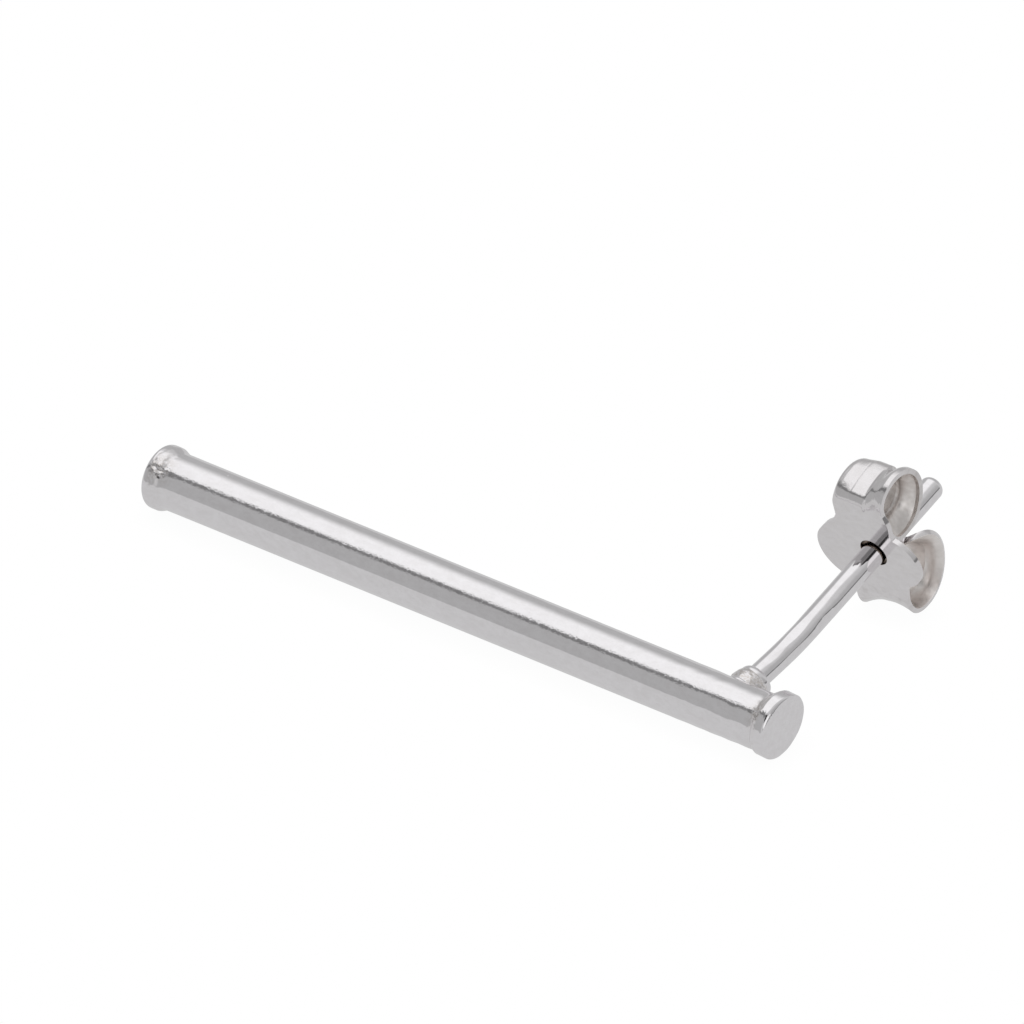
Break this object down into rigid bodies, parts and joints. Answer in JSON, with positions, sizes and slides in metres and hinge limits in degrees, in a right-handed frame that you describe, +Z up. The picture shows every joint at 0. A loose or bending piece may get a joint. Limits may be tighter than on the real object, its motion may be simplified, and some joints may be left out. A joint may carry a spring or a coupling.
{
  "type": "bar earring",
  "caption": "Round polished silver bar with a soldered disc on each end and a post near one end, with a curled butterfly clutch on the post.",
  "frame": {"origin": "middle of the floor under the earring's box, with the earring lying as it rests by itself", "axes": "+X along the bar from the far disc to the disc next to the post, +Y towards the post's tip, +Z up"},
  "size_m": [0.0282, 0.0134, 0.0069],
  "materials": {
    "polished_silver": "polished silver with fine scratches, shallow dents and rough solder at the joints",
    "clutch_silver": "stamped silver sheet, bright on the plate and slightly satin inside the curls"
  },
  "bodies": {
    "bar": {"bar_and_post": "polished_silver"},
    "clutch": {"butterfly_clutch": "clutch_silver"}
  },
  "joints": [
    {"name": "clutch_slide", "type": "slide", "parent": "bar", "child": "clutch", "axis": [0, 0.9678, 0.2518], "range_m": [-0.0043, 0.0044]}
  ]
}
